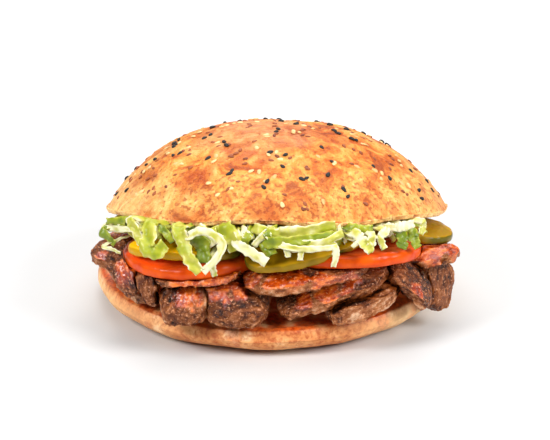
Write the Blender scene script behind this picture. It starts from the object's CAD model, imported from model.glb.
# %% [markdown]
# # A doner kebab sandwich in a round seeded bun
# This lesson dresses the plain solids of a sandwich, one filling at a time. The bun is cut and opened at
# the front, with shaved meat, tomato, pickle and lettuce between its halves. The solids give every piece
# its place and form. Each step adds what a solid can't show: crust, crumb, fibres, sauce and frills.

# %% Load the plain solids
import math
import random

import bpy
import numpy as np
from mathutils import Matrix, Vector, kdtree, noise


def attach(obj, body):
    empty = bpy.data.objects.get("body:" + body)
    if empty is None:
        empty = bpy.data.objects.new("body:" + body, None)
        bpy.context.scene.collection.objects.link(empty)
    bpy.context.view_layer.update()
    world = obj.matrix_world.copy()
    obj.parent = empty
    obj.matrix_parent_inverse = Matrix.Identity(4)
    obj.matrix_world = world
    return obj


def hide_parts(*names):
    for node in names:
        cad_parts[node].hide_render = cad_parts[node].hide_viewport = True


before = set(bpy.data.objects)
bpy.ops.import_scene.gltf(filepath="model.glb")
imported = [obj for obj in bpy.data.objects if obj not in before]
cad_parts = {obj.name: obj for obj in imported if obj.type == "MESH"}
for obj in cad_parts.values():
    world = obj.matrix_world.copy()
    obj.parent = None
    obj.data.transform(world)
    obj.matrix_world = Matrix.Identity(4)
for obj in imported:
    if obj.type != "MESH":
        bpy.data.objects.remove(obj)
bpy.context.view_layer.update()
MM = 0.001

# %% [markdown]
# Blender's operators act on whatever is selected, so small helpers come first that leave one piece
# selected and work on it. Others read a mesh's points and normals as arrays, which are far quicker to
# work with than one point at a time, and put the points back.


# %% Helpers for shaping
def work_on(piece):
    """Leaves this piece alone selected and active, in object mode."""
    bpy.ops.object.select_all(action="DESELECT")
    piece.select_set(True)
    bpy.context.view_layer.objects.active = piece


def add_ball(segments, rings):
    """A ball of radius 1, which is selected alone."""
    bpy.ops.object.select_all(action="DESELECT")
    bpy.ops.mesh.primitive_uv_sphere_add(segments=segments, ring_count=rings, radius=1)
    return bpy.context.object


def face_outwards(piece, merge=0):
    """Turns a closed piece's faces outwards, after merging points nearer than a distance."""
    work_on(piece)
    bpy.ops.object.mode_set(mode="EDIT")
    bpy.ops.mesh.select_all(action="SELECT")
    if merge:
        bpy.ops.mesh.remove_doubles(threshold=merge)
    bpy.ops.mesh.normals_make_consistent(inside=False)
    bpy.ops.object.mode_set(mode="OBJECT")


def apply_modifier(piece, kind, **settings):
    """Adds a modifier with its settings, and applies it."""
    work_on(piece)
    added = piece.modifiers.new(kind.title(), kind)
    for name, value in settings.items():
        setattr(added, name, value)
    bpy.ops.object.modifier_apply(modifier=added.name)


def points_of(piece):
    """The mesh's points as an array, one row each."""
    flat = np.empty(len(piece.data.vertices) * 3)
    piece.data.vertices.foreach_get("co", flat)
    return flat.reshape(-1, 3)


def normals_of(piece):
    """The mesh's point normals as an array."""
    flat = np.empty(len(piece.data.vertices) * 3)
    piece.data.vertex_normals.foreach_get("vector", flat)
    return flat.reshape(-1, 3)


def place_points(piece, points):
    """Puts the mesh's points where an array says."""
    piece.data.vertices.foreach_set("co", np.asarray(points).ravel())
    piece.data.update()


def paint(piece, name, values):
    """Stores a number or a vector for each point, for a material to read."""
    values = np.asarray(values, dtype=float)
    kind, field = ("FLOAT", "value") if values.ndim == 1 else ("FLOAT_VECTOR", "vector")
    layer = piece.data.attributes.new(name, kind, "POINT")
    layer.data.foreach_set(field, values.ravel())


def waves(points, size, seed=0.0, octaves=1):
    """Smooth noise from -1 to 1 at each point. size is the width of its features, in metres."""
    shift = Vector((seed * 3.1, seed * 1.7, seed * 5.3))
    total = np.zeros(len(points))
    for octave in range(octaves):
        scale = 2**octave / size
        total += np.array([noise.noise(Vector(p) * scale + shift) for p in points]) / 2**octave
    return total


def smooth_step(values, low, high):
    """0 below low, 1 above high, and an even rise between them."""
    share = np.clip((values - low) / (high - low), 0, 1)
    return share * share * (3 - 2 * share)


def finish_piece(piece, name, material, nodes=()):
    """Names a piece, smooths it, gives it its material, and tells the frame what it is."""
    piece.name = piece.data.name = name
    piece.data.materials.clear()
    piece.data.materials.append(material)
    piece.data.shade_smooth()
    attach(piece, "root")
    if nodes:
        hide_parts(*nodes)
    print(name, "faces:", len(piece.data.polygons))


# %% [markdown]
# Every finish below is built from nodes. One function adds a node, sets its values and wires it up, and
# another turns the hex colours that a picture editor shows into the linear values that a shader needs.
# What a Mix or a Math node does is a setting, and the common ones get a name. A pattern's scale is how many
# of its grains fit in a metre: 1000 over their width in millimetres, so 72 for blotches of 14 mm.

# %% Helpers for materials
BLEND = {"data_type": "RGBA"}
DARKEN = {"data_type": "RGBA", "blend_type": "MULTIPLY"}
ADD = {"operation": "ADD"}
SUBTRACT = {"operation": "SUBTRACT"}
MULTIPLY = {"operation": "MULTIPLY"}


def linear(text):
    """An sRGB hex colour as linear red, green, blue and alpha."""
    shown = [int(text[index : index + 2], 16) / 255 for index in (1, 3, 5)]
    return (*[c / 12.92 if c <= 0.04045 else ((c + 0.055) / 1.055) ** 2.4 for c in shown], 1.0)


def add_node(material, kind, output=None, stops=(), settings=(), **inputs):
    """Adds one node and returns its output. inputs are values, or outputs of other nodes to wire from."""
    made = material.node_tree.nodes.new("ShaderNode" + kind)
    for name, value in dict(settings).items():
        setattr(made, name, value)
    for index, (place, colour) in enumerate(stops):
        ramp = made.color_ramp.elements
        stop = ramp[index] if index < 2 else ramp.new(place)
        stop.position, stop.color = place, linear(colour)
    sockets = {}
    for socket in made.inputs:
        if socket.enabled:
            key = socket.name.lower().replace(" ", "_")
            sockets[key if key not in sockets else key + "_2"] = socket
    for name, value in inputs.items():
        if isinstance(value, bpy.types.NodeSocket):
            material.node_tree.links.new(value, sockets[name])
        else:
            sockets[name].default_value = value
    outputs = [socket for socket in made.outputs if socket.enabled]
    named = [socket for socket in outputs if socket.name == output]
    return (named or outputs or [None])[0]


def new_material(name, attributes):
    """An empty material, with the Object coordinates and the painted attributes that it reads."""
    made = bpy.data.materials.new(name)
    made.use_nodes = True
    made.node_tree.nodes.clear()
    painted = {}
    for each in attributes:
        painted[each] = add_node(made, "Attribute", "Fac", settings={"attribute_name": each})
    return made, add_node(made, "TexCoord", "Object"), painted


def end_material(material, **inputs):
    """Ends a material with its shader."""
    shader = add_node(material, "BsdfPrincipled", **inputs)
    add_node(material, "OutputMaterial", surface=shader)


# %% [markdown]
# The camera stands low in front, as it would on a table-top shoot: 20 degrees above the table, 70 cm away,
# with a long lens. The light is a small soft box at either side, a wide one overhead, one behind that
# shines on the background, and the white room round them. The floor is a pale card.

# %% Camera, lights and floor
bpy.context.scene.view_settings.view_transform = "Standard"
AIM = Vector((0.0024, 0, 0.036))
CAMERA_DISTANCE = 0.70
CAMERA_ELEVATION = math.radians(20)
SENSOR_WIDTH = 36
SEEN_WIDTH = 0.264
back = Vector((0, -math.cos(CAMERA_ELEVATION), math.sin(CAMERA_ELEVATION)))
bpy.ops.object.camera_add(
    location=AIM + back * CAMERA_DISTANCE, rotation=(math.pi / 2 - CAMERA_ELEVATION, 0, 0)
)
camera = bpy.context.object
camera.data.sensor_width = SENSOR_WIDTH
camera.data.lens = SENSOR_WIDTH * CAMERA_DISTANCE / SEEN_WIDTH
bpy.context.scene.camera = camera

# Each soft box has its place, what it shines on, its width in metres and its power in watts.
BACKGROUND = Vector((0, 1.45, 0))
SOFT_BOXES = (
    ((-0.62, -0.50, 0.64), AIM, 0.32, 7.9),
    ((0.66, -0.44, 0.56), AIM, 0.40, 8.3),
    ((0.05, -0.05, 1.20), AIM, 0.90, 7.0),
    ((0.00, 1.05, 1.00), BACKGROUND, 1.10, 25.0),
)
for place, lit, size, power in SOFT_BOXES:
    turned = (lit - Vector(place)).to_track_quat("-Z", "Y").to_euler()
    bpy.ops.object.light_add(type="AREA", location=place, rotation=turned)
    bpy.context.object.data.size = size
    bpy.context.object.data.energy = power

room = bpy.data.worlds.new("white room")
room.use_nodes = True
room.node_tree.nodes["Background"].inputs["Color"].default_value = linear("#ffffff")
room.node_tree.nodes["Background"].inputs["Strength"].default_value = 0.20
bpy.context.scene.world = room

bpy.ops.mesh.primitive_plane_add(size=8)
floor = bpy.context.object
floor.name = "floor"
card = bpy.data.materials.new("matt white card")
card.use_nodes = True
card_inputs = card.node_tree.nodes["Principled BSDF"].inputs
card_inputs["Base Color"].default_value = linear("#cecece")
card_inputs["Roughness"].default_value = 0.9
floor.data.materials.append(card)
print("camera", [round(c, 3) for c in camera.location], "lights", len(SOFT_BOXES))

# %% [markdown]
# ## The lid
# The top of the bun is a yeast dough that rose into a low dome, with a thin crust. Its shape could be
# turned on a lathe, but a ball is quicker: its upper half is pushed up to the dome's height at each
# distance from the middle, and its lower half is pressed flat for the cut side. The rings of a ball crowd
# together at its equator, just where the crust turns steeply under, so the thin edge gets enough points.

# %% The lid's own measures
LID_RADIUS = 81.3 * MM
LID_CENTRE = Vector((3.2, 0, 41.6)) * MM
LID_TILT = math.radians(14)
DOME_HEIGHT = 42.5 * MM
RIM_WAVE = 1.1 * MM
lid_matrix = Matrix.Translation(LID_CENTRE) @ Matrix.Rotation(-LID_TILT, 4, "X")


def uneven(angle, seed, amount):
    """A slow wave round an outline, 1 on average."""
    return 1 + amount * noise.noise(Vector((1.3 * math.cos(angle), 1.3 * math.sin(angle), 5.7 * seed)))


def lid_plane(y):
    """Height of the lid's underside above a point."""
    return LID_CENTRE.z - math.tan(LID_TILT) * y


def rim_wave(angle, y):
    """The slow wave of the lid's edge, strongest in front."""
    return RIM_WAVE * max(0.0, -y / LID_RADIUS) * math.sin(7 * angle + 0.8)


def crown_height(x, y, share):
    """Height of the crust over the rim's plane, at a share of the lid's radius."""
    dome = max(DOME_HEIGHT * (1 - share**2.6) ** 0.83, 2.2 * MM)
    dent = 1.8 * MM * noise.noise(Vector((x, y, 0.03)) * 34)
    return dome + dent * (1 - share) ** 0.5 + rim_wave(math.atan2(y, x), y) * share**6


def crown_point(share, angle):
    """A point on the crust, in the lid's own frame."""
    radius = share * LID_RADIUS * uneven(angle, seed=2, amount=0.012)
    x, y = radius * math.cos(angle), radius * math.sin(angle)
    return Vector((x, y, crown_height(x, y, share)))


print("lid", round(2 * LID_RADIUS / MM), "mm across, lifted", round(math.degrees(LID_TILT)), "degrees")

# %% Shape the lid
lid = add_ball(segments=400, rings=200)
# The underside's height in mm at shares of the radius. In shares, past 1 means on the underside.
UNDERSIDE = ((0, 1.8), (0.60, 1.5), (0.965, 0.0), (0.992, 0.6), (1, 2.2))
shaped, shares = [], []
for x, y, z in points_of(lid):
    share, angle = min(1.0, math.hypot(x, y)), math.atan2(y, x)
    point = crown_point(share, angle)
    under = z < -1e-6
    if under:
        point.z = np.interp(share, *zip(*UNDERSIDE)) * MM + rim_wave(angle, point.y)
    shaped.append(point)
    shares.append(2 - share if under else share)
place_points(lid, shaped)
face_outwards(lid)
print("lid points:", len(lid.data.vertices))

# %% [markdown]
# The crust isn't smooth. The dough wrinkled as it dried, small bubbles stand up under the skin, and the
# thin edge tore a little when the bun was cut. Each of these is a noise of its own size that moves the
# points along their normals. Where the crust is brown, pale, dusty or freckled is painted on them too.


# %% Wrinkle the crust
def ragged_patch(points, x, y, radius, raggedness, size, seed):
    """1 in a round patch with a ragged edge, 0 outside it. Its place and size are in millimetres."""
    away = np.hypot(points[:, 0] - x * MM, points[:, 1] - y * MM) / (radius * MM)
    return smooth_step(1 - away + raggedness * waves(points, size * MM, seed), 0, 0.6)


points, normals = points_of(lid), normals_of(lid)
share = np.array(shares)
outside = 1 - smooth_step(share, 1.0, 1.02)
wrinkles = waves(points * (1, 1, 0.45), 13 * MM, 1, octaves=3) * 0.45 * MM
bubbles = np.maximum(0, waves(points, 4.5 * MM, 2)) ** 2 * 0.6 * MM
thin_rim = smooth_step(share, 0.95, 1.0) * (1 - smooth_step(share, 1.0, 1.06))
torn = thin_rim * waves(points, 5 * MM, 3, octaves=2)
relief = outside * (wrinkles + bubbles) + torn * 0.55 * MM
place_points(lid, points + normals * relief[:, None])
paint(lid, "relief", np.clip(0.5 + relief / (1.4 * MM), 0, 1))
aside = smooth_step(np.abs(points[:, 0]) / LID_RADIUS, 0.35, 0.9) * (0.7 - 0.3 * np.sign(points[:, 0]))
brown_front = ragged_patch(points, x=16, y=-46, radius=52, raggedness=0.3, size=16, seed=5)
paint(lid, "browned", np.maximum(brown_front, 0.6 * (1 - smooth_step(share, 0.3, 0.6))))
thin_edge = smooth_step(share, 0.985, 1.005)
paint(lid, "pale", np.maximum(thin_edge, smooth_step(share, 0.72, 1.0) * (0.1 + 0.55 * aside)))
paint(lid, "dusty", ragged_patch(points, x=-8, y=-30, radius=34, raggedness=0.4, size=14, seed=4))
paint(lid, "freckled", 0.35 + 0.65 * smooth_step(share, 0.70, 0.90) * (1 - aside))
lid.data.transform(lid_matrix)
print("crust relief in mm:", round(relief.min() / MM, 2), round(relief.max() / MM, 2))

# %% [markdown]
# ### Baked crust
# Crust is dough whose starch and sugar browned in the oven. It is golden, palest at the thin edge and the
# sides, with blotches of 14 mm in orange and brown in front and on the top, nearest the heat. One patch is
# a dusty, pinker tan. A mottling of 3 mm lies over it all, toasted freckles of 2 mm are thickest towards
# the front edge, and pores of 1.4 mm break its faint sheen. Light scatters just under the skin.

# %% Crust material
crust, place, painted = new_material("baked crust", ("relief", "browned", "pale", "dusty", "freckled"))
blotches = add_node(
    crust, "TexNoise", vector=place, scale=72.0, detail=6.0, roughness=0.68, distortion=0.9
)
browner = add_node(crust, "MapRange", value=painted["browned"], to_min=-0.05, to_max=0.016)
heat = add_node(crust, "Math", settings=ADD, value=blotches, value_2=browner)
BAKED = ((0.34, "#f7c478"), (0.46, "#eda64c"), (0.55, "#dc7c2c"), (0.63, "#a4480e"))
tone = add_node(crust, "ValToRGB", fac=heat, stops=BAKED)
pale_tone = add_node(crust, "Mix", settings=BLEND, factor=painted["pale"], a=tone, b=linear("#fcd894"))
dust = add_node(crust, "Math", settings=MULTIPLY, value=painted["dusty"], value_2=0.6)
dusted = add_node(crust, "Mix", settings=BLEND, factor=dust, a=pale_tone, b=linear("#dc9c70"))
mottle = add_node(crust, "TexNoise", vector=place, scale=300.0, detail=5.0, roughness=0.75)
mottled = add_node(
    crust, "ValToRGB", fac=mottle, stops=((0.30, "#b87434"), (0.45, "#ecc084"), (0.58, "#ffffff"))
)
skin = add_node(crust, "Mix", settings=DARKEN, factor=0.55, a=dusted, b=mottled)
freckles = add_node(crust, "TexNoise", vector=place, scale=520.0)
freckle_share = add_node(crust, "Math", settings=MULTIPLY, value=painted["freckled"], value_2=0.15)
freckle_sum = add_node(crust, "Math", settings=ADD, value=freckle_share, value_2=freckles)
freckle_mask = add_node(crust, "MapRange", value=freckle_sum, from_min=0.66, from_max=0.76, to_max=0.7)
freckled = add_node(crust, "Mix", settings=BLEND, factor=freckle_mask, a=skin, b=linear("#a84e24"))
hollows = add_node(crust, "ValToRGB", fac=painted["relief"], stops=((0.30, "#d09460"), (0.52, "#ffffff")))
crust_colour = add_node(crust, "Mix", settings=DARKEN, factor=0.8, a=freckled, b=hollows)
pores = add_node(crust, "TexNoise", vector=place, scale=700.0, detail=4.0, roughness=0.7)
crust_bump = add_node(crust, "Bump", strength=0.9, distance=1.0 * MM, height=pores)
sheen = add_node(crust, "MapRange", value=blotches, from_min=0.3, from_max=0.7, to_min=0.60, to_max=0.40)
end_material(
    crust,
    base_color=crust_colour,
    roughness=sheen,
    normal=crust_bump,
    ior=1.34,
    subsurface_weight=0.04,
    subsurface_scale=1.0 * MM,
)
finish_piece(lid, "bun_lid", crust, ["bread_lid"])

# %% [markdown]
# ## Seeds
# The baker scattered two seeds over the wet dough: black nigella, sharp-edged and matt, and sesame, flat
# and pale, much of it toasted brown. A seed is modelled once, from a ball whose one end is drawn out, and
# copies of it are laid on the crust by a rule: evenly over the dome, some of them in pairs, each turned its
# own way and sunk a little into the dough.


# %% Lay seeds on the crust
def seed_model(size):
    """One seed's points and faces: a ball with one end drawn out, at its length, width and height."""
    bpy.ops.object.select_all(action="DESELECT")
    bpy.ops.mesh.primitive_uv_sphere_add(segments=8, ring_count=6, radius=0.5, rotation=(0, math.pi / 2, 0))
    model = bpy.context.object
    bpy.ops.object.transform_apply(rotation=True)
    points = points_of(model)
    points[:, 1:] *= 1 - 0.55 * (points[:, :1] + 0.15)
    points *= np.array(size) * MM
    faces = [tuple(face.vertices) for face in model.data.polygons]
    bpy.data.objects.remove(model)
    return points, faces


def crust_place(share, angle, draw):
    """The matrix that lays a seed on the crust, turned by chance."""
    point = crown_point(share, angle)
    outwards = crown_point(share + 0.02, angle) - point
    around = crown_point(share, angle + 0.03) - point
    lie = outwards.cross(around).normalized().to_track_quat("Z", "Y").to_matrix().to_4x4()
    turn = Matrix.Rotation(draw.uniform(0, 2 * math.pi), 4, "Z")
    tip = Matrix.Rotation(draw.uniform(-0.25, 0.25), 4, "X")
    return lid_matrix @ Matrix.Translation(point) @ lie @ (turn @ tip)


def scatter(name, model, places, material):
    """Joins a copy of the model at each place into one piece."""
    points, faces = model
    padded = np.column_stack([points, np.ones(len(points))])
    all_points = np.vstack([padded @ np.array(matrix).T for matrix in places])[:, :3]
    all_faces = [[k + index * len(points) for k in face] for index in range(len(places)) for face in faces]
    mesh = bpy.data.meshes.new(name)
    mesh.from_pydata(all_points.tolist(), [], all_faces)
    piece = bpy.data.objects.new(name, mesh)
    bpy.context.scene.collection.objects.link(piece)
    paint(piece, "shade", np.repeat([(index * 0.618) % 1 for index in range(len(places))], len(points)))
    finish_piece(piece, name, material)


def seed_places(count, widest, proud, seed):
    """Where one kind of seed lies: a sunflower's rule with a seeded jitter, some beside the one before."""
    draw = random.Random(seed)
    places = []
    near_share, near_angle = 0.5, 0.0
    for index in range(count):
        share = widest * math.sqrt((index + draw.uniform(0.1, 0.9)) / count) ** 0.92
        angle = index * math.pi * (3 - math.sqrt(5)) + draw.uniform(-0.5, 0.5) + seed
        if index % 4 == 3:
            share, angle = near_share + draw.uniform(-0.045, 0.045), near_angle + draw.uniform(-0.07, 0.07)
        near_share, near_angle = share, angle
        grow = draw.uniform(0.85, 1.12)
        place = crust_place(min(share, 0.95), angle, draw) @ Matrix.Diagonal((grow, grow, grow, 1))
        places.append(place @ Matrix.Translation((0, 0, proud * MM)))
    return places


# %% [markdown]
# Nigella is matt black. Sesame is a golden cream with a faint shine from its oil, and toasts to the brown
# of a hazelnut's skin. The grain of their hulls is drawn coarse, at 0.7 mm, so that it shows.

# %% Seed materials and the seeds
# Name, size in mm, how many, how far out, how proud of the crust in mm, draw, two colours and roughness.
SEED_KINDS = (
    ("nigella_seeds", (3.0, 2.0, 1.6), 100, 0.95, 0.25, 3, "#0a0807", "#1e1a18", 0.6),
    ("sesame_seeds", (3.0, 2.1, 0.9), 150, 0.94, 0.15, 5, "#ecc88a", "#d8a666", 0.4),
    ("toasted_seeds", (2.6, 1.7, 1.0), 190, 0.97, 0.12, 8, "#6a2810", "#ac5c2a", 0.5),
)
for name, size, count, widest, proud, seed, dark, light, roughness in SEED_KINDS:
    hull, place, painted = new_material(name.replace("_", " ") + " hull", ["shade"])
    grain = add_node(hull, "TexNoise", vector=place, scale=1500.0)
    colour = add_node(hull, "Mix", settings=BLEND, factor=painted["shade"], a=linear(dark), b=linear(light))
    hull_bump = add_node(hull, "Bump", strength=0.3, distance=0.1 * MM, height=grain)
    end_material(hull, base_color=colour, roughness=roughness, normal=hull_bump)
    scatter(name, seed_model(size), seed_places(count, widest, proud, seed), hull)

# %% [markdown]
# ## The base
# The bottom half of the bun is a thin disc with a rolled edge. It is shaped from a ball too, pressed down
# to the sloping cut face above and flat on the table below. The cut face is open crumb. Round the edge
# the crust is soft, floury and creased.

# %% Shape the base
BASE_RADIUS = 82.5 * MM
BASE_STRETCH = (1.005, 0.97)
# The height of each half, as a share of the base's, at shares of its radius.
TOP_PROFILE = ((0, 1), (0.945, 1), (0.982, 0.93), (1, 0.62))
UNDER_PROFILE = ((0, 0), (0.80, 0), (0.87, 0.06), (0.935, 0.20), (0.985, 0.43), (1, 0.62))


def base_top(y):
    """Height of the base's cut face."""
    return 17 * MM + 0.043 * y


base = add_ball(segments=288, rings=144)
shaped, tops = [], []
for x, y, z in points_of(base):
    share, angle = min(1.0, math.hypot(x, y)), math.atan2(y, x)
    radius = BASE_RADIUS * uneven(angle, seed=1, amount=0.012) * share
    x, y = BASE_STRETCH[0] * radius * math.cos(angle), BASE_STRETCH[1] * radius * math.sin(angle)
    upper = z >= -1e-6
    rise = np.interp(share, *zip(*(TOP_PROFILE if upper else UNDER_PROFILE)))
    shaped.append((x, y, rise * base_top(y)))
    tops.append(1 - share if upper else share - 1)
place_points(base, shaped)
face_outwards(base)
points, normals = points_of(base), normals_of(base)
tops = np.array(tops)
cut_face = smooth_step(tops, 0.045, 0.06)
resting = smooth_step(-tops, 0.12, 0.20)
creases = waves(points * (0.5, 0.5, 1), 6 * MM, 4, octaves=2) * 0.4 * MM
crumb = -np.abs(waves(points, 3 * MM, 5)) * 0.9 * MM
lumps = waves(points, 16 * MM, 6) * 0.5 * MM
relief = (1 - resting) * ((1 - cut_face) * (creases + lumps) + cut_face * crumb)
place_points(base, points + normals * relief[:, None])
paint(base, "cut", cut_face)
paint(base, "relief", np.clip(0.5 + relief / (1.2 * MM), 0, 1))
to_side = points[:, 0] / BASE_RADIUS
floured = 0.45 * smooth_step(-to_side, 0.35, 0.85) + smooth_step(to_side, 0.35, 0.85)
paint(base, "floury", floured * (1 - smooth_step(tops, 0.0, 0.03)))
reach = np.hypot(points[:, 0], points[:, 1]) / BASE_RADIUS
soaked = smooth_step(waves(points, 9 * MM, 7, octaves=2) + 2 * (reach - 0.74), -0.15, 0.35)
on_top = smooth_step(tops, 0.008, 0.034)
runs = waves(points * (1, 1, 0.6), 12 * MM, 8, octaves=2)
drips = smooth_step(runs - 6 * np.abs(tops - 0.03), 0.10, 0.45)
paint(base, "sauce", np.clip(0.9 * soaked * on_top + 0.4 * drips * (tops > -0.02), 0, 1))
print("base", round(2 * BASE_RADIUS / MM), "mm across, relief in mm", round(relief.min() / MM, 2))

# %% [markdown]
# ### Soft lower crust and crumb
# The bun baked on a floured tray, so its lower crust is a warm tan with paler patches of 18 mm and specks
# of 2 mm, and flour clings to its two sides. The crumb is toasted too, darker in its pores, and has drunk
# the orange sauce that ran out of the meat.

# %% Base material
soft_crust, place, painted = new_material("soft floured crust", ("cut", "sauce", "relief", "floury"))
patches = add_node(soft_crust, "TexNoise", vector=place, scale=55.0, detail=5.0, roughness=0.65)
TANNED = ((0.35, "#b8622a"), (0.45, "#d48444"), (0.55, "#e6a466"), (0.63, "#f6cc9c"))
tan = add_node(soft_crust, "ValToRGB", fac=patches, stops=TANNED)
fine = add_node(soft_crust, "TexNoise", vector=place, scale=480.0, detail=3.0, roughness=0.6)
speckle = add_node(soft_crust, "ValToRGB", fac=fine, stops=((0.34, "#cc8652"), (0.54, "#ffffff")))
speckled = add_node(soft_crust, "Mix", settings=DARKEN, factor=0.8, a=tan, b=speckle)
crumb_tone = add_node(
    soft_crust, "ValToRGB", fac=painted["relief"], stops=((0.25, "#c47c44"), (0.5, "#ecb884"))
)
flour = add_node(soft_crust, "Math", settings=MULTIPLY, value=painted["floury"], value_2=0.85)
floured = add_node(soft_crust, "Mix", settings=BLEND, factor=flour, a=speckled, b=linear("#ffd296"))
bread = add_node(soft_crust, "Mix", settings=BLEND, factor=painted["cut"], a=floured, b=crumb_tone)
sauce_tone = add_node(soft_crust, "ValToRGB", fac=fine, stops=((0.35, "#9c2e08"), (0.62, "#dc5c18")))
stained = add_node(soft_crust, "Mix", settings=BLEND, factor=painted["sauce"], a=bread, b=sauce_tone)
base_bump = add_node(soft_crust, "Bump", strength=0.4, distance=0.4 * MM, height=fine)
wetness = add_node(soft_crust, "MapRange", value=painted["sauce"], to_min=0.68, to_max=0.28)
end_material(
    soft_crust,
    base_color=stained,
    roughness=wetness,
    normal=base_bump,
    subsurface_weight=0.06,
    subsurface_scale=1.5 * MM,
)
finish_piece(base, "bun_base", soft_crust, ["bread_base"])

# %% [markdown]
# ## Shaved meat
# Doner is roasted on a spit and shaved off in slices, browned outside and ragged where the knife left
# them. The solids already have each slice's place and bend. A slice is a copy of its solid, wrapped in an
# even skin of small faces by a Remesh modifier, and then worked: long ridges along its grain, lumps, and
# notches in its edges. Nearly all of that goes inwards, so no slice grows into its neighbour.


# %% Helpers for pieces made from a solid
def skin_of(node, voxel, smoothing):
    """A copy of a solid, wrapped in even faces and smoothed."""
    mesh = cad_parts[node].data.copy()
    piece = bpy.data.objects.new(node + "_skin", mesh)
    bpy.context.scene.collection.objects.link(piece)
    face_outwards(piece, merge=0.01 * MM)
    apply_modifier(piece, "REMESH", mode="VOXEL", voxel_size=voxel)
    apply_modifier(piece, "SMOOTH", factor=0.5, iterations=smoothing)
    return piece


def own_axes(points):
    """The points along a piece's own length, breadth and thickness."""
    middle = points.mean(0)
    _, axes = np.linalg.eigh(np.cov((points - middle).T))
    return (points - middle) @ axes[:, ::-1], axes[:, ::-1]


# %% [markdown]
# Red-orange sauce lies in pools on the slices in front. Each pool has a middle and a reach, in
# millimetres, and a ragged edge, and stays on faces that look up or out.

# %% Where the sauce lies
SAUCE_POOLS = (
    (-36, -80, 33, 7),
    (-22, -80, 35, 7),
    (-12, -79, 34, 5),
    (-14, -78, 41, 9),
    (-64, -62, 36, 5),
    (-62, -64, 29, 5),
    (2, -82, 38, 5),
    (10, -82, 40, 6),
    (21, -81, 42, 3),
    (14, -80, 29, 5),
    (24, -80, 33, 7),
    (34, -78, 37, 5),
    (66, -67, 28, 4),
    (70, -52, 41, 8),
    (80, -47, 41, 7),
    (-78, -42, 34, 4),
)


def sauce_on(points, normals, seed):
    """How much sauce lies at each point: most in the middle of a pool, on faces that look up or out."""
    spread = waves(points, 5 * MM, seed, octaves=3)
    facing = smooth_step(normals[:, 2] - 0.45 * normals[:, 1], 0.15, 0.6)
    nearest = np.full(len(points), 9.0)
    for *middle, reach in SAUCE_POOLS:
        gap = np.linalg.norm(points / MM - middle, axis=1) / reach
        nearest = np.minimum(nearest, gap)
    return smooth_step(1.25 - nearest + 0.5 * spread, 0, 0.35) * facing


print("pools of sauce:", len(SAUCE_POOLS))

# %% [markdown]
# Dark juice gathers in the gaps between slices. A search tree finds how far each point is from the
# nearest other slice. The two front slices that are one fold stay clean between them.

# %% Wrap the slices and find the gaps
SLICES = range(1, 19)
FRONT_SLICES = range(1, 13)
JOINED_SLICES = {1, 2}
WET_GAP = 0.9 * MM
DRY_GAP = 3.0 * MM
meat_slices = {}
for number in SLICES:
    meat_slices[number] = skin_of(f"meat_slice_{number:02d}", voxel=0.58 * MM, smoothing=1)


def juice_in_gaps(number):
    """How near each point of a slice lies to another slice: 1 where they all but touch, 0 far apart."""
    apart = [other for other in SLICES if other != number and {other, number} != JOINED_SLICES]
    others = np.vstack([points_of(meat_slices[other])[::5] for other in apart])
    tree = kdtree.KDTree(len(others))
    for index, point in enumerate(others):
        tree.insert(point, index)
    tree.balance()
    gaps = np.array([tree.find(point)[2] for point in points_of(meat_slices[number])])
    return 1 - smooth_step(gaps, WET_GAP, DRY_GAP)


juice = {number: juice_in_gaps(number) for number in SLICES}
print("slices of meat:", len(meat_slices))

# %% [markdown]
# Each slice is worked in its own directions. A noise stretched along its length makes strata and fibres,
# and bites are torn out of its rim, fewer from the thick slices. The relief is painted on too, so that
# ridges can be pale and furrows dark, and a few slices are lighter or darker all over.

# %% Work the slices
THICK_SLICES = (1, 2, 5, 7)
LIGHTER_SLICES = {5: 0.30, 6: -0.15, 7: 0.10, 9: 0.15, 11: 0.05}
for number, slice_of_meat in meat_slices.items():
    points, normals = points_of(slice_of_meat), normals_of(slice_of_meat)
    own, _ = own_axes(points)
    from_middle = np.abs(own) / np.abs(own).max(0)
    strata = 1 - 2.4 * np.abs(waves(own * (0.3, 0.6, 1), 2.6 * MM, number, octaves=2))
    fibres = waves(own * (0.35, 1, 1), 1.5 * MM, number + 30)
    lumps = waves(points, 7 * MM, number + 60, octaves=2)
    rim = smooth_step(from_middle[:, 1] + 0.5 * smooth_step(from_middle[:, 0], 0.7, 1), 0.6, 1)
    bites = np.maximum(0, waves(points, 5 * MM, number + 90, octaves=2) + 0.10) * rim
    tears = smooth_step(waves(own * (0.5, 1, 1), 5 * MM, number + 150), 0.22, 0.55)
    nubs = waves(points, 1.3 * MM, number + 180)
    torn = 0.5 if number in THICK_SLICES else 2.0
    raised = 0.25 * strata + 0.3 * fibres + 0.2 * nubs + 0.4 * lumps
    depth = np.minimum(raised - torn * bites - 0.25 * torn * tears - 0.4, 0.35)
    place_points(slice_of_meat, points + normals * depth[:, None] * MM)
    lightness = 0.3 * strata + 0.5 * fibres + 0.35 * nubs + 0.2 * lumps - 0.5 * tears + 0.5 * rim - 0.2
    paint(slice_of_meat, "relief", smooth_step(lightness + LIGHTER_SLICES.get(number, 0), -0.9, 1.0))
    if number in FRONT_SLICES:
        glaze = sauce_on(points, normals, number + 120)
    else:
        glaze = 0.7 * smooth_step(normals[:, 2] + waves(points, 10 * MM, number + 120, octaves=2), 0.5, 1)
    paint(slice_of_meat, "sauce", glaze * (1 - 0.6 * juice[number]))
    paint(slice_of_meat, "juice", juice[number])
    paint(slice_of_meat, "along", own * (0.42, 1, 1) + 0.1 * number)
print("slices worked:", len(meat_slices))

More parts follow.
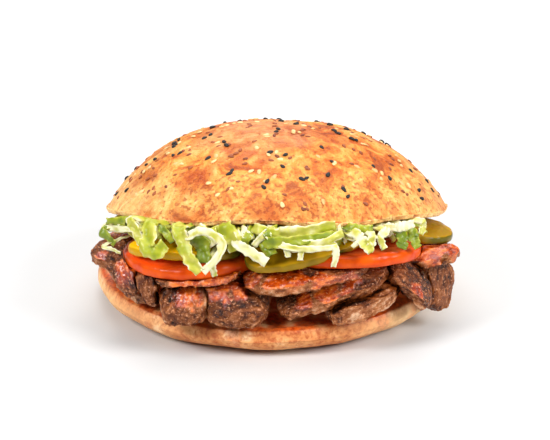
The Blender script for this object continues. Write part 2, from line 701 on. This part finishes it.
# %% [markdown]
# ### Roast meat
# Roast meat is browned in patches of 9 mm. Its grain runs along each slice, pale fibres against dark
# furrows, 1.3 mm apart, with specks of pale fat 1 mm wide, and the gaps are dark with juice. The sauce is a
# red-orange film, glossier than the meat and smoother, because it fills the fibres. So colour, gloss and
# bump all follow the same painted mask. Real beads of fat are finer than these, which must show.

# %% Meat material
meat, place, painted = new_material("roast shaved meat", ("relief", "sauce", "juice"))
along = add_node(meat, "Attribute", "Vector", settings={"attribute_name": "along"})
browning = add_node(meat, "TexNoise", vector=place, scale=110.0, detail=4.0, roughness=0.6)
fibre = add_node(meat, "TexNoise", vector=along, scale=760.0, detail=6.0, roughness=0.72)
height = add_node(meat, "MapRange", value=painted["relief"], to_min=-0.30, to_max=0.28)
with_fibre = add_node(meat, "Math", settings=ADD, value=height, value_2=fibre)
browned = add_node(meat, "MapRange", value=browning, from_min=0.3, from_max=0.7, to_min=-0.08, to_max=0.14)
level = add_node(meat, "Math", settings=ADD, value=with_fibre, value_2=browned)
darker = add_node(meat, "MapRange", value=painted["juice"], to_max=0.34)
soaked_level = add_node(meat, "Math", settings=SUBTRACT, value=level, value_2=darker)
ROASTED = ((0.14, "#1c0a03"), (0.32, "#54260c"), (0.54, "#84441a"), (0.74, "#ae6c3e"), (0.94, "#e4ba94"))
fibrous = add_node(meat, "ValToRGB", fac=soaked_level, stops=ROASTED)
sauce_colour = add_node(
    meat, "ValToRGB", fac=soaked_level, stops=((0.15, "#541002"), (0.44, "#b03a04"), (0.74, "#f07820"))
)
sauced = add_node(meat, "Mix", settings=BLEND, factor=painted["sauce"], a=fibrous, b=sauce_colour)
fat = add_node(meat, "TexNoise", vector=place, scale=950.0)
fat_specks = add_node(meat, "MapRange", value=fat, from_min=0.58, from_max=0.72, to_max=0.65)
open_face = add_node(
    meat, "MapRange", value=painted["juice"], from_min=0.2, from_max=0.8, to_min=1.0, to_max=0.0
)
specks = add_node(meat, "Math", settings=MULTIPLY, value=fat_specks, value_2=open_face)
meat_colour = add_node(meat, "Mix", settings=BLEND, factor=specks, a=sauced, b=linear("#eca472"))
wet = add_node(meat, "MapRange", value=painted["sauce"], to_min=0.24, to_max=0.12)
beads = add_node(meat, "TexNoise", vector=place, scale=900.0, detail=3.0, roughness=0.6)
rough = add_node(meat, "MapRange", value=painted["sauce"], to_min=0.85, to_max=0.28)
fibre_bump = add_node(meat, "Bump", strength=rough, distance=1.0 * MM, height=fibre)
meat_bump = add_node(meat, "Bump", strength=rough, distance=0.9 * MM, height=beads, normal=fibre_bump)
film = add_node(meat, "MapRange", value=painted["sauce"], to_min=0.35)
open_film = add_node(meat, "Math", settings=MULTIPLY, value=film, value_2=open_face)
end_material(
    meat, base_color=meat_colour, roughness=wet, normal=meat_bump, ior=1.48, specular_ior_level=open_film
)
for number, slice_of_meat in meat_slices.items():
    finish_piece(slice_of_meat, f"shaved_meat_{number:02d}", meat, [f"meat_slice_{number:02d}"])

# %% [markdown]
# The rest of the meat lies heaped in the middle, where little shows. It is one lumpy skin over its solid.

# %% The heap inside
heap = skin_of("meat_pile", voxel=1.2 * MM, smoothing=2)
points, normals = points_of(heap), normals_of(heap)
lumps = waves(points, 10 * MM, 21, octaves=2)
folds = -np.abs(waves(points * (1, 1, 2), 7 * MM, 22)) * 2.4
place_points(heap, points + normals * (lumps * 0.8 + folds - 0.3)[:, None] * MM)
paint(heap, "relief", smooth_step(lumps + folds * 0.4, -1.2, 0.6))
paint(heap, "sauce", 0.5 * smooth_step(normals[:, 2] + waves(points, 12 * MM, 23), 0.4, 0.9))
paint(heap, "juice", np.full(len(points), 0.6))
paint(heap, "along", points * (0.3, 1, 1))
finish_piece(heap, "meat_heap", meat, ["meat_pile"])

# %% [markdown]
# ## Tomato and pickle
# Both are slices with a skin round a wet inside, so both start from their solids, wrapped and smoothed as
# the meat was. Two numbers are painted on them for their materials: how far out a point lies, and whether
# it is on a cut face or on the skin.


# %% Shape the vegetable slices
def shape_slice(node, voxel, ripple):
    """A vegetable slice from its solid, with the numbers that its material reads."""
    piece = skin_of(node, voxel, smoothing=12)
    points, normals = points_of(piece), normals_of(piece)
    own, axes = own_axes(points)
    half = np.abs(own).max(0)
    depth = ripple * waves(points, 7 * MM, 31, octaves=2) - 0.12
    place_points(piece, points + normals * depth[:, None] * MM)
    paint(piece, "reach", np.hypot(own[:, 0] / half[0], own[:, 1] / half[1]))
    paint(piece, "face", smooth_step(np.abs(normals @ axes[:, 2]), 0.55, 0.9))
    return piece


tomato_slices, pickle_slices = {}, {}
for side in ("left", "right", "back_left", "back_right"):
    tomato_slices[side] = shape_slice(f"tomato_slice_{side}", voxel=0.8 * MM, ripple=0.22)
for side in ("left", "middle", "right", "far_left"):
    pickle_slices[side] = shape_slice(f"pickle_slice_{side}", voxel=0.65 * MM, ripple=0.35)
print("slices:", len(tomato_slices), "tomato,", len(pickle_slices), "pickle")

# %% [markdown]
# ### Tomato
# Tomato skin is thin, smooth and glossy, a clear orange-red over the flesh. The cut face is paler and wet,
# with a firm outer wall, darker pockets of jelly and a light core. Ripples of 2 mm soften its shine.

# %% Tomato material
tomato, place, painted = new_material("ripe tomato", ["reach", "face"])
clouds = add_node(tomato, "TexNoise", vector=place, scale=120.0, detail=3.0)
skin_tone = add_node(tomato, "ValToRGB", fac=clouds, stops=((0.35, "#ca3c02"), (0.65, "#e45a06")))
FLESH = ((0.10, "#f0a070"), (0.30, "#e65a20"), (0.60, "#d8400c"), (0.78, "#ee6c34"), (0.95, "#e84e10"))
flesh = add_node(tomato, "ValToRGB", fac=painted["reach"], stops=FLESH)
tomato_colour = add_node(tomato, "Mix", settings=BLEND, factor=painted["face"], a=skin_tone, b=flesh)
fine = add_node(tomato, "TexNoise", vector=place, scale=450.0)
tomato_bump = add_node(tomato, "Bump", strength=0.5, distance=0.3 * MM, height=fine)
end_material(
    tomato,
    base_color=tomato_colour,
    roughness=0.26,
    normal=tomato_bump,
    ior=1.30,
    subsurface_weight=0.05,
    subsurface_scale=2 * MM,
)
for side, piece in tomato_slices.items():
    finish_piece(piece, f"tomato_{side}", tomato, [f"tomato_slice_{side}"])

# %% [markdown]
# ### Pickled cucumber
# Brine turns a cucumber's flesh from white to a clear yellow-green, and its skin to a dull olive. The flesh
# lets light in, so it is gold at the left, where light passes through, and olive at the right, in the lid's
# shade, with clouds of 18 mm. All of it is wet.

# %% Pickle material
pickle, place, painted = new_material("pickled cucumber", ["face"])
clouds = add_node(pickle, "TexNoise", vector=place, scale=55.0, distortion=0.4)
across = add_node(pickle, "SeparateXYZ", "X", vector=place)
golden = add_node(
    pickle, "MapRange", value=across, from_min=-60 * MM, from_max=-30 * MM, to_min=0.30, to_max=0.0
)
olive = add_node(pickle, "MapRange", value=across, from_min=58 * MM, from_max=74 * MM, to_max=-0.16)
across_tone = add_node(pickle, "Math", settings=ADD, value=golden, value_2=olive)
brine = add_node(pickle, "Math", settings=ADD, value=clouds, value_2=across_tone)
brined = add_node(
    pickle, "ValToRGB", fac=brine, stops=((0.34, "#a47c10"), (0.50, "#c69810"), (0.66, "#fcbc00"))
)
skin_tone = add_node(pickle, "ValToRGB", fac=brine, stops=((0.32, "#5c5412"), (0.62, "#c09212")))
pickle_colour = add_node(pickle, "Mix", settings=BLEND, factor=painted["face"], a=skin_tone, b=brined)
fine = add_node(pickle, "TexNoise", vector=place, scale=420.0)
pickle_bump = add_node(pickle, "Bump", strength=0.2, distance=0.3 * MM, height=fine)
end_material(
    pickle,
    base_color=pickle_colour,
    roughness=0.20,
    normal=pickle_bump,
    ior=1.27,
    subsurface_weight=0.15,
    subsurface_scale=3 * MM,
)
for side, piece in pickle_slices.items():
    finish_piece(piece, f"pickle_{side}", pickle, [f"pickle_slice_{side}"])

# %% [markdown]
# ## Lettuce
# Lettuce, cut in strips. Each shred is a thin, limp ribbon: pale and stiff along its rib, greener and
# frilled along its edge, curled because its two sides grew at different rates. A flat grid is bent along a
# path through the air, cupped across its width and ruffled more towards its edges, and then given the
# thickness of a leaf.


# %% One shred
LEAF_THICKNESS = 0.38 * MM
LETTUCE_SPREAD = 69 * MM


def smooth_path(points, count):
    """Points at even steps along a smooth curve through the given ones."""
    padded = [2 * points[0] - points[1], *points, 2 * points[-1] - points[-2]]
    path = []
    for index in range(count):
        where = index / (count - 1) * (len(points) - 1)
        span = min(int(where), len(points) - 2)
        t = where - span
        a, b, c, d = padded[span : span + 4]
        bend = (2 * a - 5 * b + 4 * c - d) * t * t
        path.append(0.5 * (2 * b + (c - a) * t + bend + (3 * b - a - 3 * c + d) * t**3))
    return path


def make_shred(points, width, lean, twist, frill, green, seed):
    """One shred of lettuce along a path: a bent, folded and frilled grid."""
    length = sum((b - a).length for a, b in zip(points, points[1:]))
    steps = max(10, int(length / (0.95 * MM)))
    breadth = max(4, round(width / (0.9 * MM)))
    bpy.ops.mesh.primitive_grid_add(x_subdivisions=steps - 1, y_subdivisions=breadth, size=2)
    shred = bpy.context.object
    path = smooth_path(points, steps)
    frames = []
    for index in range(steps):
        along = (path[min(index + 1, steps - 1)] - path[max(index - 1, 0)]).normalized()
        outward = Vector((0.6 * path[index].x, path[index].y, 0)).normalized()
        share = index / (steps - 1)
        angle = math.radians(min(1.0, 2.5 * share) * lean + twist * share * (share - 0.5))
        facing = Vector((0, 0, 1)) * math.cos(angle) + outward * math.sin(angle)
        normal = (facing - along * facing.dot(along)).normalized()
        across = along.cross(normal)
        if across.dot(frames[-1][1] if frames else -outward) < 0:
            across = -across
        frames.append((path[index], across, normal))
    shaped, greens = [], []
    for u, v, _ in points_of(shred):
        share = (u + 1) / 2
        side = 1 if v > 0 else -1
        far = share * length / MM
        point, across, normal = frames[min(steps - 1, round(share * (steps - 1)))]
        wide = width / 2 * (0.55 + min(0.45, 1.8 * share) - 0.55 * max(0, share - 0.6) ** 1.2)
        wide *= 1 + 0.25 * noise.noise(Vector((far / 8, seed, 0.7)))
        wide *= 1 + 0.28 * noise.noise(Vector((far / 2.6, side, seed + 0.3)))
        frilled = 1.8 * frill * abs(v) ** 1.5 * noise.noise(Vector((far / 2.4, 2 * side, seed)))
        folded = 0.07 * width * math.sin(3.4 * v + far / 5 + seed)
        veined = 0.25 * MM * noise.noise(Vector((far / 3, v * width / MM / 1.6, seed)))
        flat = point + across * wide * v
        crumpled = 0.9 * MM * noise.noise(flat / (3.4 * MM)) + 0.35 * MM * noise.noise(flat / (1.5 * MM))
        shaped.append(flat + normal * (frilled + folded + veined + crumpled))
        patch = 0.30 * noise.noise(Vector((far / 7, v, seed + 4)))
        rib = min(1.0, max(0.0, 0.5 + 1.4 * noise.noise(Vector((far / 5, side, seed + 8)))))
        greens.append(green + patch - 0.6 * rib * max(0.0, (abs(v) - 0.6) / 0.4))
    place_points(shred, shaped)
    paint(shred, "green", greens)
    work_on(shred)
    apply_modifier(shred, "SOLIDIFY", thickness=LEAF_THICKNESS, offset=0)
    return shred


def root_of(point):
    """Where a shred that shows at a point starts, inside the bed."""
    root = Vector((point.x, point.y, 0)).normalized() * (LETTUCE_SPREAD - 10 * MM)
    root.z = lid_plane(root.y) - 3 * MM
    return root


# %% [markdown]
# The shreds that hang out in front are laid one by one, as they fell: each line gives the points that a
# shred passes after it leaves the bed, in millimetres, then its width, its lean and its twist in degrees,
# how deep its frill is, and how green it is.

# %% Lay the shreds that show
SHOWN_SHREDS = (
    (((-74, -44, 49), (-67, -53, 51), (-60, -61, 54)), 2.8, 70, 10, 0.2, 0.05),
    (((-72, -46, 52), (-65, -55, 56), (-60, -61, 59)), 3.0, 75, 10, 0.3, 0.85),
    (((-73, -50, 50), (-71, -56, 48), (-68, -58, 46)), 4.0, 75, 30, 0.5, 1.00),
    (((-72, -58, 46), (-69, -62, 45), (-65, -64, 44)), 1.6, 60, 60, 0.5, 0.20),
    (((-59, -66, 61), (-57, -72, 57), (-55, -77, 53)), 4.4, 70, 20, 0.4, 0.35),
    (
        ((-50, -70, 61), (-51, -78, 57), (-52, -82, 53), (-48, -83, 52), (-44, -82, 55)),
        *(7.0, 78, -20, 0.5, 0.60),
    ),
    (((-45, -74, 60), (-43, -79, 58), (-41, -80, 55)), 3.4, 70, 40, 0.4, 0.90),
    (((-38, -76, 61), (-37, -82, 57), (-34, -87, 51), (-29, -89, 45)), 6.0, 78, -10, 0.4, 0.50),
    (
        ((-34, -80, 57), (-30, -85, 62), (-24, -86, 61), (-20, -86, 57), (-22, -88, 51), (-28, -89, 45)),
        *(3.6, 75, 40, 0.3, 0.15),
    ),
    (((-31, -78, 58), (-28, -83, 54), (-28, -86, 48)), 7.5, 80, 10, 0.5, 1.00),
    (((-25, -84, 49), (-24, -86, 46), (-23, -86, 42)), 2.9, 80, 0, 0.1, 0.15),
    (((-20, -75, 61), (-16, -80, 57), (-14, -82, 52)), 7.6, 75, -30, 0.6, 0.55),
    (((-14, -82, 56), (-8, -86, 53), (-1, -88, 49)), 4.8, 72, 20, 0.3, 0.05),
    (((-3, -76, 59), (-1, -82, 55), (1, -85, 51)), 6.6, 75, 30, 0.7, 0.90),
    (((-7, -78, 61), (2, -82, 60), (10, -81, 61)), 4.0, 70, 20, 0.5, 0.45),
    (((0, -79, 59), (13, -83, 61), (28, -81, 63)), 4.8, 75, 20, 0.8, 0.40),
    (((-2, -82, 56), (12, -86, 58), (27, -85, 60)), 5.0, 80, -20, 0.9, 0.80),
    (((9, -83, 55), (21, -87, 57), (31, -85, 61)), 4.4, 75, 20, 0.5, 0.25),
    (((4, -84, 56), (15, -88, 55), (28, -88, 56)), 2.8, 70, 20, 0.2, 0.20),
    (((7, -84, 55), (8, -87, 51)), 2.6, 80, 0, 0.1, 0.10),
    (((13, -85, 55), (13, -88, 50)), 2.6, 80, 0, 0.1, 0.05),
    (((26, -85, 57), (28, -88, 53), (27, -88, 47)), 3.0, 78, 60, 0.3, 0.15),
    (((35, -78, 59), (39, -82, 57), (43, -84, 52)), 4.6, 70, 40, 1.0, 0.20),
    (((42, -78, 59), (43, -82, 56), (42, -83, 52)), 4.0, 75, -40, 1.0, 0.25),
    (((34, -78, 56), (38, -82, 57), (35, -83, 54)), 2.0, 60, 50, 0.5, 0.15),
    (((49, -74, 59), (47, -79, 57), (49, -80, 52)), 3.4, 65, 60, 0.9, 0.25),
    (((32, -74, 60), (38, -77, 60), (44, -77, 60)), 4.0, 65, 30, 0.7, 0.80),
    (((51, -70, 58), (57, -74, 60), (62, -70, 60)), 4.0, 65, 20, 0.6, 0.10),
    (((55, -68, 57), (57, -74, 54), (56, -76, 51)), 6.0, 75, 30, 1.0, 1.00),
    (((60, -66, 56), (62, -70, 53), (64, -71, 49)), 4.8, 70, -40, 1.0, 0.90),
    (((65, -58, 57), (67, -60, 55), (66, -62, 52)), 3.4, 65, 20, 0.7, 0.35),
)
shreds = []
bpy.ops.object.select_all(action="DESELECT")
for index, (places, width, lean, twist, frill, green) in enumerate(SHOWN_SHREDS):
    path = [Vector(place) * MM for place in places]
    path.insert(0, root_of(path[0]))
    shreds.append(make_shred(path, width * MM, lean, twist, frill * MM, green, index + 1))
print("shreds that show:", len(shreds))

# %% [markdown]
# The other shreds follow a rule. Some go all round the bed, further in beside the pickle that they would
# hide. Short curls fill the front, right under the lid's edge.

# %% Lay the other shreds
FILL_SHREDS = 130
FRONT_CURLS = 64
BESIDE_PICKLE = (-34, -3)
CURLS_FROM, CURLS_OVER = -152, 118
draw = random.Random(11)
for index in range(FILL_SHREDS):
    angle = math.tau * (index + draw.uniform(0, 1)) / FILL_SHREDS
    beside_pickle = BESIDE_PICKLE[0] < (math.degrees(angle) + 180) % 360 - 180 < BESIDE_PICKLE[1]
    front = max(0.0, -math.sin(angle)) * (not beside_pickle)
    outward = Vector((math.cos(angle), math.sin(angle), 0))
    sideways = Vector((-outward.y, outward.x, 0)) * draw.uniform(-13, 13) * MM
    reach = (draw.uniform(0, 4) + 9 * front) * MM
    drop = (draw.uniform(0, 3) + draw.uniform(0, 5) * front) * MM
    edge = outward * (LETTUCE_SPREAD + 0.6 * reach - 2 * MM) + 0.5 * sideways
    edge.z = lid_plane(edge.y) - 1.5 * MM - 0.3 * drop
    low = outward * (LETTUCE_SPREAD + reach) + sideways
    low.z = lid_plane(low.y) - 2.5 * MM - drop
    width, lean, twist = draw.uniform(3, 6) * MM, draw.uniform(15, 80), draw.uniform(-90, 90)
    frill, green = draw.uniform(0.3, 1.1) * MM, draw.uniform(0.0, 0.85)
    shreds.append(make_shred([root_of(edge), edge, low], width, lean, twist, frill, green, index + 40))
for index in range(FRONT_CURLS):
    angle = math.radians(CURLS_FROM + CURLS_OVER * (index + draw.uniform(0, 1)) / FRONT_CURLS)
    outward = Vector((math.cos(angle), math.sin(angle), 0))
    sideways = Vector((-outward.y, outward.x, 0)) * draw.uniform(4, 10) * draw.choice((-1, 1)) * MM
    hung = [outward * (LETTUCE_SPREAD + 7 * MM)]
    hung.append(outward * (LETTUCE_SPREAD + draw.uniform(11, 14) * MM) + 0.5 * sideways)
    hung.append(outward * (LETTUCE_SPREAD + draw.uniform(10, 13) * MM) + sideways)
    for point, drop in zip(hung, (0.4, draw.uniform(1.5, 4.5), draw.uniform(3, 9))):
        point.z = lid_plane(point.y) - drop * MM
    width, lean, twist = draw.uniform(1.5, 3.8) * MM, draw.uniform(50, 85), draw.uniform(-120, 120)
    frill, green = draw.uniform(0.4, 1.2) * MM, draw.uniform(0.0, 0.85)
    shreds.append(make_shred([root_of(hung[0]), *hung], width, lean, twist, frill, green, index + 200))
print("shreds:", len(shreds))

# %% [markdown]
# Behind the shreds the lettuce is a pressed mat: a ball pressed flat between the lid and the fillings, and
# crumpled like the leaves that it stands for. Then the shreds and the mat are joined to one piece.

# %% The mat, and all the lettuce as one piece
mat = add_ball(segments=160, rings=60)
shaped = []
for x, y, z in points_of(mat):
    angle, share = math.atan2(y, x), min(1.0, math.hypot(x, y))
    widest = LETTUCE_SPREAD + 8 * MM * max(0.0, -math.sin(angle))
    radius = widest * uneven(angle, seed=4, amount=0.07) * share
    x, y = 3 * MM + radius * math.cos(angle), radius * math.sin(angle)
    top = lid_plane(y) - 0.8 * MM
    bottom = lid_plane(y) - max(3.0 * MM, 4.0 * MM - 0.030 * y)
    fold = 0.9 * MM * noise.noise(Vector((x, y, z * MM)) / (5 * MM)) * share
    shaped.append((x, y, bottom + (top - bottom) * (0.5 + 0.5 * z) + fold))
place_points(mat, shaped)
paint(mat, "green", 0.55 + 0.5 * waves(np.array(shaped), 6 * MM, 33))
bpy.ops.object.select_all(action="DESELECT")
for shred in [*shreds, mat]:
    shred.select_set(True)
bpy.context.view_layer.objects.active = mat
bpy.ops.object.join()
print("lettuce points:", len(mat.data.vertices))

# %% [markdown]
# ### Crisp leaf
# A leaf has almost no colour of its own along the rib, and gets yellow-green and then green towards the
# edge, with clouds of 6 mm. It is waxy, so it glints, and thin enough for light to pass into it.

# %% Lettuce material
leaf, place, painted = new_material("crisp lettuce leaf", ["green"])
clouds = add_node(leaf, "TexNoise", vector=place, scale=160.0, detail=3.0)
clouding = add_node(leaf, "MapRange", value=clouds, from_min=0.3, from_max=0.7, to_min=-0.2, to_max=0.2)
greenness = add_node(leaf, "Math", settings=ADD, value=painted["green"], value_2=clouding)
RIB_TO_EDGE = ((0.02, "#e4e0b8"), (0.30, "#bfba50"), (0.60, "#9fa41a"), (0.98, "#6c7e08"))
leaf_colour = add_node(leaf, "ValToRGB", fac=greenness, stops=RIB_TO_EDGE)
veins = add_node(leaf, "TexNoise", vector=place, scale=520.0)
leaf_bump = add_node(leaf, "Bump", strength=0.3, distance=0.3 * MM, height=veins)
end_material(
    leaf,
    base_color=leaf_colour,
    roughness=0.40,
    normal=leaf_bump,
    subsurface_weight=0.05,
    subsurface_scale=0.4 * MM,
)
finish_piece(mat, "shredded_lettuce", leaf, ["lettuce"])
